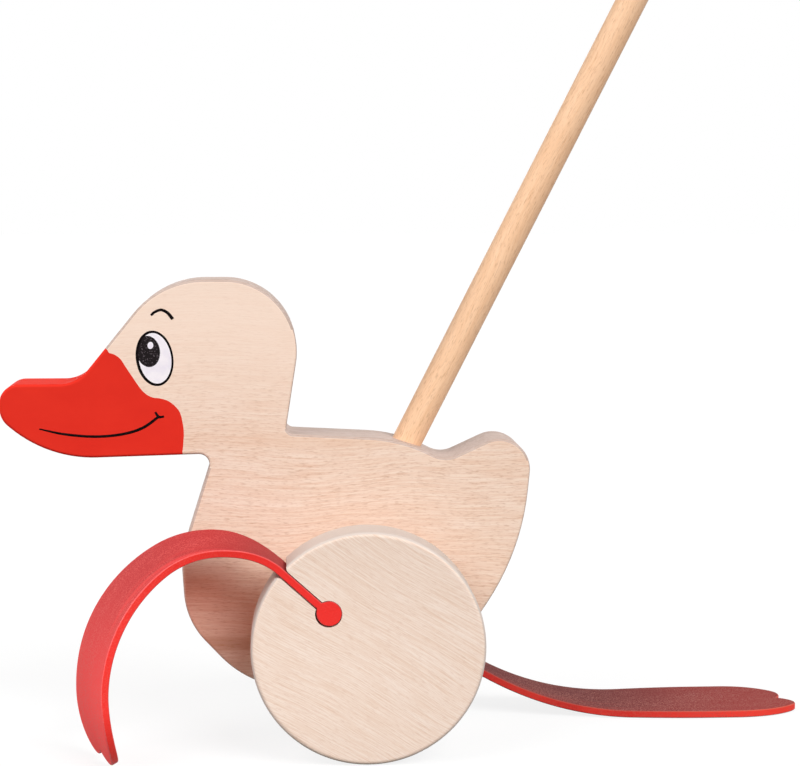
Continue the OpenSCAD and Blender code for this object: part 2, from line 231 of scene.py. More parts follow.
def ranged(tree, value, start, end, low=0, high=1, way="LINEAR"):
    """A number that goes from low to high while the value goes from start to end."""
    sockets = {0: value, 1: start, 2: end, 3: low, 4: high}
    return put(tree, "ShaderNodeMapRange", sockets, interpolation_type=way).outputs[0]


def split(tree, vector):
    """A vector's outputs X, Y and Z."""
    return put(tree, "ShaderNodeSeparateXYZ", {0: vector}).outputs


def new_finish(name):
    """An empty material and its node tree."""
    finish = bpy.data.materials.new(name)
    finish.use_nodes = True
    finish.node_tree.nodes.clear()
    return finish, finish.node_tree


def on_piece(tree):
    """The place on the piece, in metres."""
    return put(tree, "ShaderNodeTexCoord", {}).outputs["Object"]


def blended(tree, share, first, second):
    return put(tree, "ShaderNodeMix", {0: share, 6: first, 7: second}, data_type="RGBA").outputs[2]


def streaks(tree, grain, stretch, low, high, most, detail=3):
    """Streaks along the grain, from 0 to most, where noise stretched that way passes from low to high."""
    long = put(tree, "ShaderNodeMapping", {"Vector": grain, "Scale": stretch}).outputs[0]
    noise = put(tree, "ShaderNodeTexNoise", {"Vector": long, "Scale": 1, "Detail": detail, "Roughness": 0.55})
    return ranged(tree, noise.outputs[0], low, high, 0, most)


def coated(tree, sockets):
    """Ends a material's tree in a coat with these sockets."""
    coat = put(tree, "ShaderNodeBsdfPrincipled", sockets)
    put(tree, "ShaderNodeOutputMaterial", {0: coat.outputs[0]})


def beech(name, codes, turn=(0, 0, 0), shares=(0.8, 0.55, 0.5), closeness=1, bars=(), rim=None):
    """Sanded beech under a thin satin coat, with the grain along X after the turn.

    The codes are the tones of wood, bands, lines and flecks, and the shares are those of the last three.
    Closeness draws the lines together. A bar is a level band of another tone across the board: its height,
    half width, share and tone.
    A rim is a distance from the axle and the darker tone beyond it, partly end grain and partly painted
    shade.
    """
    finish, tree = new_finish(name)
    wood, band, line, fleck = (tone(code) for code in codes)
    band_share, line_share, fleck_share = shares
    place = on_piece(tree)
    board = put(tree, "ShaderNodeMapping", {"Vector": place, "Rotation": turn}).outputs[0]
    wander = put(tree, "ShaderNodeTexNoise", {"Vector": board, "Scale": 16, "Detail": 1}).outputs["Color"]
    grain = steered(tree, "ADD", board, steered(tree, "MULTIPLY", wander, (0, 0.004, 0.009)))
    bands = streaks(tree, grain, (6, 50, 85), 0.42, 0.78, band_share, 5)
    lines = streaks(tree, grain, (70, 800, 1900 * closeness), 0.38, 0.72, line_share)
    flecks = streaks(tree, grain, (430, 1500, 3100), 0.52, 0.76, fleck_share, 2)
    colour = blended(tree, bands, wood, band)
    colour = blended(tree, lines, colour, line)
    colour = blended(tree, flecks, colour, fleck)
    for height, half, share, code in bars:
        away = worked(tree, "ABSOLUTE", worked(tree, "SUBTRACT", split(tree, grain)["Z"], height))
        near = ranged(tree, away, 0, half, share, 0, "SMOOTHSTEP")
        colour = blended(tree, near, colour, tone(code))
    if rim:
        start, code = rim
        flat_place = steered(tree, "MULTIPLY", place, (1, 0, 1))
        from_axle = {0: flat_place, 1: (0, 0, axle_height / 1000)}
        reach = put(tree, "ShaderNodeVectorMath", from_axle, operation="DISTANCE").outputs[1]
        colour = blended(tree, ranged(tree, reach, start - 0.0004, start), colour, tone(code))
    pores = put(tree, "ShaderNodeBump", {
        "Strength": 0.25, "Distance": 0.00006, "Height": worked(tree, "ADD", lines, flecks),
    }, invert=True)
    coated(tree, {
        "Base Color": colour, "Roughness": ranged(tree, lines, 0, line_share, 0.46, 0.6),
        "Normal": pores.outputs[0], "Specular IOR Level": 0.3,
    })
    return finish


# A thin growth band at the neck, a dark band at the axle's height that is painted shade for the wood under
# the left foot's arch, and a wide lighter zone over the head that is painted light.
grain_shade_and_light_bars = [  # height in the frame, half width, share and tone
    (0.109, 0.005, 0.18, "dcab87"), (0.0375, 0.0045, 0.55, "c08d6d"), (0.15, 0.05, 0.75, "f8e0cf"),
]
plate_beech = beech("plate_beech", ("f0d9c8", "eacbb4", "dcb194", "c08f70"), shares=(0.8, 0.62, 0.62),
                    bars=grain_shade_and_light_bars)
# Sawn edge tone: darker and greyer, partly the sawn wood's own tone and partly painted shade for the tops.
sawn_shaded_beech = beech("sawn_shaded_beech", ("c7b2a8", "bba294", "ac907f", "9b7a68"))

bill_red, lacquer_tree = new_finish("bill_red")
lacquer_place = on_piece(lacquer_tree)
under_grain = streaks(lacquer_tree, lacquer_place, (40, 400, 900), 0.35, 0.75, 1)
lacquer_cloud = streaks(lacquer_tree, lacquer_place, (60, 60, 90), 0.35, 0.7, 1)
lacquer_skin = put(lacquer_tree, "ShaderNodeBump", {
    "Strength": 0.2, "Distance": 0.00005, "Height": under_grain,
})
coated(lacquer_tree, {
    "Base Color": blended(lacquer_tree, lacquer_cloud, tone("e43426"), tone("de3024")),
    "Roughness": ranged(lacquer_tree, under_grain, 0, 1, 0.6, 0.72),
    "Normal": lacquer_skin.outputs[0], "Specular IOR Level": 0.02,
})

for finish in (plate_beech, bill_red, sawn_shaded_beech):
    duck_plate.data.materials.append(finish)
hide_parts("duck_body")
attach(duck_plate, "duck")

# Printed face: the white, pupil and glint of each eye, flat coats of screen ink on both faces of the plate.
# The pupil's black is thin and full of pinholes, and the eye's line cuts it off in front.
eye_centre, eye_reach, eye_lean = Vector((-69.55, 130.75)), (6, 9.05), math.radians(8)
pupil_centre, pupil_reach = Vector((-71.7, 133.05)), (3.9, 5.2)
glint_centre, glint_reach = Vector((-70.95, 135.05)), (0.95, 1.2)
ink_root = 0.1


def oval(centre, reach, lean, count=72):
    """Points round an oval whose top leans to the left."""
    points = []
    for a in (math.tau * k / count for k in range(count)):
        x, y = reach[0] * math.cos(a), reach[1] * math.sin(a)
        points.append(centre + Vector((x * math.cos(lean) - y * math.sin(lean),
                                       x * math.sin(lean) + y * math.cos(lean))))
    return points


def kept_in(points, centre, reach, lean):
    """The points, with those beyond the oval drawn back to it."""
    inside = []
    for p in points:
        d = p - centre
        x, y = d.x * math.cos(lean) + d.y * math.sin(lean), d.y * math.cos(lean) - d.x * math.sin(lean)
        inside.append(centre + d / max(1, math.hypot(x / reach[0], y / reach[1])))
    return inside


eye_white, white_tree = new_finish("eye_white")
white_cloud = streaks(white_tree, on_piece(white_tree), (300, 300, 300), 0.4, 0.7, 1)
coated(white_tree, {
    "Base Color": blended(white_tree, white_cloud, tone("f4eff4"), tone("e9e3ee")), "Roughness": 0.5,
})

print_black, black_tree = new_finish("print_black")
pinholes = streaks(black_tree, on_piece(black_tree), (2600, 2600, 2600), 0.6, 0.72, 0.55, 1)
coated(black_tree, {
    "Base Color": blended(black_tree, pinholes, tone("150f11"), tone("8c8088")), "Roughness": 0.55,
    "Specular IOR Level": 0.1,
})

eye_inks = [eye_white, print_black]
eye_coats = [  # edge, height above the plate and ink
    (oval(eye_centre, eye_reach, eye_lean), 0.02, eye_white),
    (kept_in(oval(pupil_centre, pupil_reach, eye_lean), eye_centre, eye_reach, eye_lean), 0.035, print_black),
    (oval(glint_centre, glint_reach, -eye_lean), 0.05, eye_white),
]
for side, label in ((-1, "left"), (1, "right")):
    points, faces, finishes = [], [], []
    for edge, height, ink in eye_coats:
        n, at = len(edge), len(points)
        points += [(p.x, side * y, p.y) for y in (plate_half - ink_root, plate_half + height) for p in edge]
        under, over = [at + i for i in range(n)], [at + n + i for i in range(n)]
        walls = [[over[i], over[(i + 1) % n], under[(i + 1) % n], under[i]] for i in range(n)]
        faces += [f[::-1] if side < 0 else f for f in (under, over[::-1], *walls)]
        finishes += [eye_inks.index(ink)] * (n + 2)
    eye = add_piece("eye_" + label, points, faces)
    eye.data.polygons.foreach_set("use_smooth", [False] * len(faces))
    eye.data.polygons.foreach_set("material_index", finishes)
    for ink in eye_inks:
        eye.data.materials.append(ink)
    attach(eye, "duck")

# Ink lines: the eye's rim, the brow and the smile with its corner tick, printed black on both faces.
# Each is a thin raised line that swells and thins as a brush stroke does, denser than the pupil's black.
line_black, line_tree = new_finish("line_black")
line_wear = streaks(line_tree, on_piece(line_tree), (900, 900, 900), 0.45, 0.75, 1, 2)
coated(line_tree, {
    "Base Color": blended(line_tree, line_wear, tone("0a0708"), tone("1c1416")), "Roughness": 0.7,
    "Specular IOR Level": 0.03,
})
eye_rim_reach, eye_rim_knots = (5.75, 8.85), 24
eye_rim = oval(eye_centre, eye_rim_reach, eye_lean, eye_rim_knots)
eye_rim_halves = [0.45 - 0.06 * math.cos(math.tau * k / eye_rim_knots) for k in range(eye_rim_knots)]
brow = [(-70.65, 145), (-69.5, 146.05), (-67.4, 146.8), (-65.3, 145.9), (-63.5, 143.75)]
smile = [(-107.8, 107.45), (-99.8, 105.7), (-89.7, 104.8), (-80.5, 105.55), (-73.7, 107.65), (-68.5, 111.3)]
corner_tick = [(-69.6, 112.85), (-69.1, 112.1), (-68.5, 111.3), (-67.7, 111.2), (-66.7, 111.35)]
ink_strokes = [  # points, half width at each, closed or not
    (eye_rim, eye_rim_halves, True),
    (brow, [0.42, 0.48, 0.49, 0.53, 0.6], False),
    (smile, [0.27, 0.42, 0.46, 0.48, 0.5, 0.48], False),
    (corner_tick, [0.38, 0.43, 0.48, 0.43, 0.38], False),
]


def new_rule(name, inputs, output):
    """A geometry node tree with these named inputs, and the sockets that bring them in."""
    tree = bpy.data.node_groups.new(name, "GeometryNodeTree")
    for socket, kind in inputs.items():
        tree.interface.new_socket(socket, in_out="INPUT", socket_type="NodeSocket" + kind)
    tree.interface.new_socket(output, in_out="OUTPUT", socket_type="NodeSocketGeometry")
    return tree, put(tree, "NodeGroupInput", {}).outputs


def place_in(tree):
    """Where each point of the geometry is."""
    return put(tree, "GeometryNodeInputPosition", {}).outputs[0]


ink_inputs = {"Line": "Geometry", "Face": "Float", "Flatness": "Float", "Points": "Int", "Ink": "Material"}
ink_tree, ink_in = new_rule("ink_line", ink_inputs, "Stroke")
soft = put(ink_tree, "GeometryNodeCurveSplineType", {"Curve": ink_in["Line"]}, spline_type="CATMULL_ROM")
even = put(ink_tree, "GeometryNodeResampleCurve", {"Curve": soft.outputs[0], "Count": ink_in["Points"]})
nib = put(ink_tree, "GeometryNodeCurvePrimitiveCircle", {"Resolution": 10, "Radius": 1})
half_line = put(ink_tree, "GeometryNodeInputRadius", {})
cord = put(ink_tree, "GeometryNodeCurveToMesh", {
    "Curve": even.outputs[0], "Profile Curve": nib.outputs[0], "Scale": half_line.outputs[0],
    "Fill Caps": True,
})
spot = split(ink_tree, place_in(ink_tree))
rise = worked(ink_tree, "SUBTRACT", spot["Y"], ink_in["Face"])
flat_y = worked(ink_tree, "MULTIPLY_ADD", rise, ink_in["Flatness"], ink_in["Face"])
flat_spot = put(ink_tree, "ShaderNodeCombineXYZ", {"X": spot["X"], "Y": flat_y, "Z": spot["Z"]})
flat = put(ink_tree, "GeometryNodeSetPosition", {
    "Geometry": cord.outputs[0], "Position": flat_spot.outputs[0],
})
whole = put(ink_tree, "GeometryNodeRealizeInstances", {0: flat.outputs[0]})
inked = put(ink_tree, "GeometryNodeSetMaterial", {"Geometry": whole.outputs[0], "Material": ink_in["Ink"]})
put(ink_tree, "NodeGroupOutput", {0: inked.outputs[0]})


def grown(name, source, tree, sizes):
    """The plain mesh that a node tree grows from the source object, which is then removed."""
    rule = source.modifiers.new(tree.name, "NODES")
    rule.node_group = tree
    for item in tree.interface.items_tree:
        if item.item_type == "SOCKET" and item.in_out == "INPUT" and item.name in sizes:
            rule[item.identifier] = sizes[item.name]
    settled = bpy.context.evaluated_depsgraph_get()
    mesh = bpy.data.meshes.new_from_object(source.evaluated_get(settled), depsgraph=settled)
    bpy.data.objects.remove(source)
    mesh.name = name
    piece = bpy.data.objects.new(name, mesh)
    bpy.context.scene.collection.objects.link(piece)
    return piece


def drawn_curve(name, strokes):
    """A curve object of straight splines, each of points and radii in millimetres and closed or not."""
    curve = bpy.data.curves.new(name, "CURVE")
    curve.dimensions = "3D"
    for points, radii, closed in strokes:
        spline = curve.splines.new("POLY")
        spline.points.add(len(points) - 1)
        spline.use_cyclic_u = closed
        for knot, p, r in zip(spline.points, points, radii):
            knot.co = (*(Vector(p) / 1000), 1)
            knot.radius = r / 1000
    source = bpy.data.objects.new(name, curve)
    bpy.context.scene.collection.objects.link(source)
    return source


for side, label in ((-1, "left"), (1, "right")):
    strokes = [([(x, side * plate_half, z) for x, z in points], halves, closed)
               for points, halves, closed in ink_strokes]
    sizes = {"Face": side * plate_half / 1000, "Flatness": 0.12, "Points": 80, "Ink": line_black}
    ink_lines = grown("ink_lines_" + label, drawn_curve("ink_path_" + label, strokes), ink_tree, sizes)
    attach(ink_lines, "duck")

# Push stick: a 10 mm beech dowel, 500 mm long, glued 36 mm deep into the duck's back and leaning back.
# It is a darker, tan piece of wood with long open pores, and its ends are lightly chamfered.
stick_length, stick_radius, stick_chamfer, stick_depth = 500, 5, 0.5, 36
stick_lean = math.radians(27)
stick_axis = Vector((math.sin(stick_lean), 0, math.cos(stick_lean)))
stick_mouth = Vector((16, 0, axle_height + 65))
stick_foot = stick_mouth - stick_depth * stick_axis


def turned_piece(name, profile, foot, axis, segments=96):
    """A turned piece: the profile of (radius, place along the axis) points, from its foot up, swept round."""
    u = axis.orthogonal().normalized()
    v = axis.cross(u)
    points, faces, rings = [], [], []
    for radius, along in profile:
        if radius == 0:
            rings.append([len(points)] * segments)
            points.append(foot + along * axis)
        else:
            rings.append(list(range(len(points), len(points) + segments)))
            points += [foot + along * axis + radius * (math.cos(a) * u + math.sin(a) * v)
                       for a in (math.tau * k / segments for k in range(segments))]
    for low, high in zip(rings, rings[1:]):
        for i in range(segments):
            j = (i + 1) % segments
            faces.append(list(dict.fromkeys((low[i], low[j], high[j], high[i]))))
    piece = add_piece(name, points, faces)
    piece.data.set_sharp_from_angle(angle=math.radians(40))
    return piece


stick_end = [(0, 0), (stick_radius - stick_chamfer, 0), (stick_radius, stick_chamfer)]
stick_profile = stick_end + [(radius, stick_length - along) for radius, along in reversed(stick_end)]
dowel = turned_piece("dowel", stick_profile, stick_foot, stick_axis)
along_stick = (0, math.pi / 2 - stick_lean, 0)
dowel_tan = beech("dowel_tan", ("fbd1ac", "f4c49b", "ebb88c", "b4805a"), along_stick, (0.7, 0.6, 0.5))
dowel.data.materials.append(dowel_tan)
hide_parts("push_stick")
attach(dowel, "duck")

# Hand ball: a turned 35 mm beech ball, glued on the stick's upper end in a blind hole.
# A small flat surrounds the hole, its rim just broken with sandpaper.
ball_radius, ball_flat, ball_depth, ball_hole, ball_steps = 17.5, 7, 20, 5.05, 40
flat_drop = math.sqrt(ball_radius ** 2 - ball_flat ** 2)
ball_start = math.atan2(-flat_drop, ball_flat)
ball_arc = [ball_start + (math.pi / 2 - ball_start) * k / ball_steps for k in range(1, ball_steps)]
broken_rim = [(ball_flat - 0.4, 0), (ball_flat + 0.1, 0.25)]
ball_profile = [
    (0, ball_depth), (ball_hole, ball_depth), (ball_hole, 0), *broken_rim,
    *[(ball_radius * math.cos(a), flat_drop + ball_radius * math.sin(a)) for a in ball_arc],
    (0, flat_drop + ball_radius),
]
ball_foot = stick_foot + (stick_length - ball_depth) * stick_axis
hand_ball = turned_piece("hand_ball", ball_profile, ball_foot, stick_axis)
ball_beech = beech("ball_beech", ("f1cfb4", "e6bc98", "dcab86", "bd8a68"), along_stick)
hand_ball.data.materials.append(ball_beech)
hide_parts("handle_ball")
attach(hand_ball, "duck")

# Axle and spacers: an 8 mm tan beech dowel that turns in the duck, and a short wooden tube glued on at
# each side. They are the turned solids themselves, with the grain along the axle.
along_axle = (0, 0, -math.pi / 2)
axle_tan = beech("axle_tan", ("e3b78c", "d8a476", "cb9465", "9d6847"), along_axle, (0.7, 0.6, 0.5))
for name in ("axle", "spacer_left", "spacer_right"):
    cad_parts[name].material_slots[0].material = axle_tan

# Wheels: discs of paler beech with rounded rims, sawn across the board so that the grain shows slanting on
# their faces. A keyhole slit runs from each rim to a round hole. They are the solids themselves.
disc_codes, disc_shares = ("eedccf", "ead3c2", "dfc2ad", "d0ad97"), (0.4, 0.95, 0.45)
# The rim's darker grey, all the way round, is partly the end grain's own tone and partly painted shade for
# the rim's shaded top.
disc_rim_shade = (0.0378, "d0c2b9")
for name, slant in (("wheel_left", -31), ("wheel_right", 35)):
    turn = (0, math.radians(slant), 0)
    disc_beech = beech(name + "_beech", disc_codes, turn, disc_shares, closeness=1.6, rim=disc_rim_shade)
    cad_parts[name].material_slots[0].material = disc_beech

# Webbed feet: soft red rubber, each moulded in one piece. A bead sits in the wheel's keyhole, a strap fills
# the slit, and past the rim the web widens to a long toe, a notch and a blunt toe. Broad faces are dull and
# dusty; the brighter edges carry a fine pale line that is a painted highlight on their bevels. The toes are
# painted paler as painted light, and the right foot is painted darker all over as painted shade. The left
# foot arches over, the right one lies flat.
foot_sizes = (
    "Lead", "Bead Radius", "Bead Shift", "Thickness", "Rim Bevel", "Root Width", "Toe Width", "Flare Length",
    "Slit Run", "Length", "Toe Step", "Long Round", "Short Round", "Notch Depth", "Notch Span", "Stretch",
    "Tilt", "Tilt Length", "Toe Tilt",
)
foot_inputs = {"Path": "Geometry", "Rows": "Int", "Columns": "Int"} | dict.fromkeys(foot_sizes, "Float")
foot_inputs |= dict.fromkeys(("Broad Face", "Cut Edge", "Edge Highlight"), "Material")
foot_tree, size = new_rule("webbed_foot", foot_inputs, "Foot")


def reckon(operation, *values):
    return worked(foot_tree, operation, *values)


def plus(a, b):
    return reckon("ADD", a, b)


def minus(a, b):
    return reckon("SUBTRACT", a, b)


def times(a, b):
    return reckon("MULTIPLY", a, b)


def steer(operation, *values):
    return steered(foot_tree, operation, *values)


def scaled(vector, factor):
    return put(foot_tree, "ShaderNodeVectorMath", {0: vector, "Scale": factor}, operation="SCALE").outputs[0]


def eased(value, full, low, high):
    return ranged(foot_tree, value, 0, full, low, high, "SMOOTHSTEP")


def either(test, no, yes):
    sockets = {"Switch": test, "False": no, "True": yes}
    return put(foot_tree, "GeometryNodeSwitch", sockets, input_type="FLOAT").outputs[0]


def stored(mesh, name, value, data_type, domain):
    sockets = {"Geometry": mesh, "Name": name, "Value": value}
    made = put(foot_tree, "GeometryNodeStoreNamedAttribute", sockets, data_type=data_type, domain=domain)
    return made.outputs[0]


# A block of rows along the foot, columns across it and layers through it, which the rest bends into shape
layers, outer_layer, highlight_band = 8, 0.9, 0.8
second_layer = (layers - 3) / (layers - 1)
block = put(foot_tree, "GeometryNodeMeshCube", {
    "Size": (1, 2, 2), "Vertices X": size["Rows"], "Vertices Y": size["Columns"], "Vertices Z": layers,
}).outputs[0]
block_normal = split(foot_tree, put(foot_tree, "GeometryNodeInputNormal", {}).outputs[0])
block_spot = split(foot_tree, place_in(foot_tree))
level = reckon("ABSOLUTE", block_spot["Z"])
outer = reckon("GREATER_THAN", level, outer_layer)
broad = reckon("GREATER_THAN", reckon("ABSOLUTE", block_normal["Z"]), 0.5)
# Side faces of the outer layers next to the broad faces get a paler finish: a painted highlight on the edges'
# bevels.
highlight_line = times(minus(1, broad), reckon("GREATER_THAN", level, highlight_band))
marked = stored(block, "broad_face", broad, "FLOAT", "FACE")
marked = stored(marked, "highlight_line", highlight_line, "FLOAT", "FACE")

# Across: v from -1 at the longer toe's side to 1, closer together near the sides
v = reckon("SINE", times(block_spot["Y"], math.pi / 2))
u = plus(block_spot["X"], 0.5)
skin = times(outer, size["Rim Bevel"])

# Where the web ends on that line, from the rim
drop = minus(1, reckon("SQRT", reckon("MAXIMUM", 0, minus(1, times(v, v)))))
cleft = reckon("MAXIMUM", 0, minus(1, reckon("DIVIDE", reckon("ABSOLUTE", v), size["Notch Span"])))
notch = times(size["Notch Depth"], times(cleft, cleft))
short_notch = times(notch, minus(1, reckon("DIVIDE", size["Toe Step"], size["Notch Depth"])))
short_length = minus(size["Length"], size["Toe Step"])
long_end = minus(minus(size["Length"], notch), times(size["Long Round"], drop))
short_end = minus(minus(short_length, short_notch), times(size["Short Round"], drop))
web_end = minus(either(reckon("LESS_THAN", v, 0), short_end, long_end), skin)

# Along: the first rows go round the bead by angle, the next along its neck, the rest to the web's end
bead_share, neck_share, bead_tip = 0.08, 0.2, math.radians(8)
on_bead_rows, on_neck_rows = reckon("LESS_THAN", u, bead_share), reckon("LESS_THAN", u, neck_share)
neck_end = times(size["Bead Radius"], 2)
bead_angle = ranged(foot_tree, u, 0, bead_share, bead_tip, math.pi / 2)
on_bead = times(times(size["Bead Radius"], -1), reckon("COSINE", bead_angle))
on_neck = ranged(foot_tree, u, bead_share, neck_share, 0, neck_end)
from_bead = either(on_bead_rows, on_neck, on_bead)
on_web = ranged(foot_tree, u, neck_share, 1, minus(neck_end, size["Slit Run"]), web_end)
past_rim = either(on_neck_rows, on_web, minus(from_bead, size["Slit Run"]))
free = reckon("MAXIMUM", past_rim, 0)
free_path = times(free, size["Stretch"])
run = plus(plus(reckon("MINIMUM", past_rim, 0), free_path), size["Slit Run"])

# Half the thickness there: the bead's circle flows into the strap
neck_fillet = 0.0009
bead_square = times(size["Bead Radius"], size["Bead Radius"])
chord = reckon("SQRT", reckon("MAXIMUM", 0, minus(bead_square, times(run, run))))
half_thick = reckon("SMOOTH_MAX", chord, times(size["Thickness"], 0.5), neck_fillet)
swell = either(on_bead_rows, half_thick, chord)
width = eased(free, size["Flare Length"], size["Root Width"], size["Toe Width"])
half_wide = minus(times(0.5, width), skin)

# The path gives the place and the way forward; the web tilts round it more and more
on_path = put(foot_tree, "GeometryNodeSampleCurve", {
    "Curves": size["Path"], "Length": plus(run, size["Lead"]),
}, mode="LENGTH", use_all_curves=True).outputs
forward = on_path["Tangent"]
outward = steer("CROSS_PRODUCT", (0, 1, 0), forward)
growth = times(minus(size["Toe Tilt"], size["Tilt"]), reckon("DIVIDE", free, size["Length"]))
tilt = times(plus(size["Tilt"], growth), eased(free_path, size["Tilt Length"], 0, 1))
across = steer("ADD", scaled((0, 1, 0), reckon("COSINE", tilt)), scaled(outward, reckon("SINE", tilt)))
normal = steer("CROSS_PRODUCT", forward, across)
sideways = times(v, half_wide)
inner = times(times(block_spot["Z"], 1 / second_layer), minus(swell, size["Rim Bevel"]))
through = either(outer, inner, times(block_spot["Z"], swell))

# The bead sits a little to one side in its keyhole, and the neck leads back to the slit's middle
shoulder, shoulder_run = 0.55, 0.65  # as shares of the bead's radius
past_shoulder = minus(run, times(size["Bead Radius"], shoulder))
off_middle = eased(past_shoulder, times(size["Bead Radius"], shoulder_run), size["Bead Shift"], 0)
lift = scaled(normal, plus(through, off_middle))
place = steer("ADD", on_path["Position"], steer("ADD", scaled(across, sideways), lift))

web_place = put(foot_tree, "ShaderNodeCombineXYZ", {"X": past_rim, "Y": sideways, "Z": through}).outputs[0]
mapped = stored(marked, "web_place", web_place, "FLOAT_VECTOR", "POINT")
bent = put(foot_tree, "GeometryNodeSetPosition", {"Geometry": mapped, "Position": place}).outputs[0]
shaded = put(foot_tree, "GeometryNodeSetShadeSmooth", {"Geometry": bent}).outputs[0]
rubber = put(foot_tree, "GeometryNodeRealizeInstances", {0: shaded}).outputs[0]
for mark, slot in (("", "Cut Edge"), ("broad_face", "Broad Face"), ("highlight_line", "Edge Highlight")):
    chosen = {"Geometry": rubber, "Material": size[slot]}
    if mark:
        read = put(foot_tree, "GeometryNodeInputNamedAttribute", {"Name": mark}, data_type="FLOAT")
        chosen["Selection"] = read.outputs[0]
    rubber = put(foot_tree, "GeometryNodeSetMaterial", chosen).outputs[0]
put(foot_tree, "NodeGroupOutput", {0: rubber})


def rubber_finish(name, rough, *codes):
    """Red rubber under fine dust, with streaks rubbed paler along its near side and toes painted paler as
    painted light.

    The codes are the tones of the rubber, of its dust, by the wheel's rim, and of the paler toes (painted
    light) and rubbed streaks.
    """
    finish, tree = new_finish(name)
    red, dust, root, toe_light_and_rub = (tone(code) for code in codes)
    web = put(tree, "ShaderNodeAttribute", {}, attribute_name="web_place").outputs["Vector"]
    specks = streaks(tree, web, (2100, 1800, 1800), 0.44, 0.64, 1, 2)
    clouds = streaks(tree, web, (35, 150, 300), 0.3, 0.75, 0.75, 4)
    dusted = worked(tree, "MULTIPLY", specks, worked(tree, "ADD", clouds, 0.3))
    spot = split(tree, web)
    near_rim = ranged(tree, spot["X"], 0, 0.032, 0.75, 0, "SMOOTHSTEP")
    # Paler towards the toes: painted light, standing in for light on the hanging foot's left-facing web.
    toe_painted_light = ranged(tree, spot["X"], 0.045, 0.11, 0, 1, "SMOOTHSTEP")
    near_side = ranged(tree, spot["Y"], -0.002, -0.014)
    rubbed = worked(tree, "MULTIPLY", near_side, streaks(tree, web, (18, 380, 300), 0.42, 0.6, 0.8, 3))
    paler = worked(tree, "MAXIMUM", toe_painted_light, rubbed)
    free_web = blended(tree, dusted, blended(tree, paler, red, toe_light_and_rub), dust)
    bumps = put(tree, "ShaderNodeBump", {"Strength": 0.35, "Distance": 0.00008, "Height": specks})
    coated(tree, {
        "Base Color": blended(tree, near_rim, free_web, root), "Normal": bumps.outputs[0], "Roughness": rough,
        "Specular IOR Level": 0.25,
    })
    return finish


left_finishes = {
    "Broad Face": rubber_finish("broad_rubber", 0.72, "b2282b", "d65d57", "922a2d", "ea3d3d"),
    "Cut Edge": rubber_finish("edge_rubber", 0.5, "ee3029", "ef4a42", "e42b26", "ee3029"),
    # Paler red on the edge bevels: painted highlight.
    "Edge Highlight": rubber_finish("edge_highlight_rubber", 0.45, "e5504f", "ea6e6c", "d04644", "e5504f"),
}
# The right foot's tones are darker all over than the left's: painted shade from the duck and the wheel, over
# the same dust.
right_finishes = {
    "Broad Face": rubber_finish("shaded_dusty_rubber", 0.8, "5c191a", "a8685f", "571819", "8a2925"),
    "Cut Edge": rubber_finish("shaded_edge_rubber", 0.6, "ce2c25", "d2463c", "c42a26", "ec3a2e"),
    "Edge Highlight": rubber_finish("shaded_edge_highlight", 0.6, "a03a34", "b4544a", "8c3030", "c4503f"),
}

bead_reach, slit_run, wheel_middle, lead, path_step = 17.5, 20.75, 33, 8, 0.6
foot_length, foot_thick = 129.5, 2.5
left_slit, left_length, left_radius, left_turn, left_hang = 138, 119, 31.5, 77, 84
right_slit, right_radius, right_turn, right_rim_height = -28, 106, 28, 20.293


def strap_path(slit_turn, runs):
    """Points in the wheel's middle plane, from lead before the bead's centre along runs of (length, turn)."""
    a = math.radians(slit_turn)
    start = bead_reach - lead
    x, z = start * math.cos(a), axle_height + start * math.sin(a)
    points = [(x, z)]
    for length, turn in [(lead, 0), *runs]:
        steps = math.ceil(length / path_step)
        for _ in range(steps):
            half_turn = math.radians(turn) / steps / 2
            chord_length = length / steps * (math.sin(half_turn) / half_turn if half_turn else 1)
            a += half_turn
            x, z = x + chord_length * math.cos(a), z + chord_length * math.sin(a)
            a += half_turn
            points.append((x, z))
    return points


foot_pattern = {
    "Lead": lead, "Bead Radius": 4.1, "Bead Shift": -0.24, "Thickness": foot_thick, "Rim Bevel": 0.28,
    "Root Width": 18, "Toe Width": 38, "Flare Length": 93, "Slit Run": slit_run, "Length": foot_length,
    "Toe Step": 4, "Long Round": 26, "Short Round": 21, "Notch Depth": 8,
}
foot_pattern = {name: value / 1000 for name, value in foot_pattern.items()}
foot_pattern |= {"Rows": 150, "Columns": 45, "Notch Span": 0.55}

left_bend = left_radius * math.radians(left_turn)
left_runs = [(slit_run, 0), (left_bend, left_turn), (left_length - left_bend, left_hang)]
left_lie = {
    "Stretch": left_length / foot_length, "Tilt": math.radians(7), "Tilt Length": 0.021,
    "Toe Tilt": math.radians(20),
}
right_angle = math.radians(right_turn)
right_fall = right_rim_height - foot_thick / 2 - right_radius * (1 - math.cos(right_angle))
right_straight = slit_run + right_fall / math.sin(right_angle)
right_runs = [(right_straight, 0), (right_radius * right_angle, right_turn), (foot_length, 0)]
right_lie = {"Stretch": 1.0, "Tilt": 0.0, "Tilt Length": 1.0, "Toe Tilt": 0.0}
feet = [  # side, path, how the web lies on it, finishes, where the bend at the joint starts and ends
    ("left", -1, strap_path(left_slit, left_runs), left_lie, left_finishes,
     (-0.0284, -0.033, 0.0638), (-0.056, -0.033, 0.073)),
    ("right", 1, strap_path(right_slit, right_runs), right_lie, right_finishes,
     (0.0338, 0.033, 0.0203), (0.075, 0.033, 0.003)),
]
for label, side, path, lie, finishes, bend_start, bend_end in feet:
    middle = [(x, side * wheel_middle, z) for x, z in path]
    source = drawn_curve("foot_path_" + label, [(middle, [1] * len(middle), False)])
    foot = grown("webbed_foot_" + label, source, foot_tree, foot_pattern | lie | finishes)
    foot.data.set_sharp_from_angle(angle=math.radians(32))
    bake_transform(foot)
    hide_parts("foot_" + label)

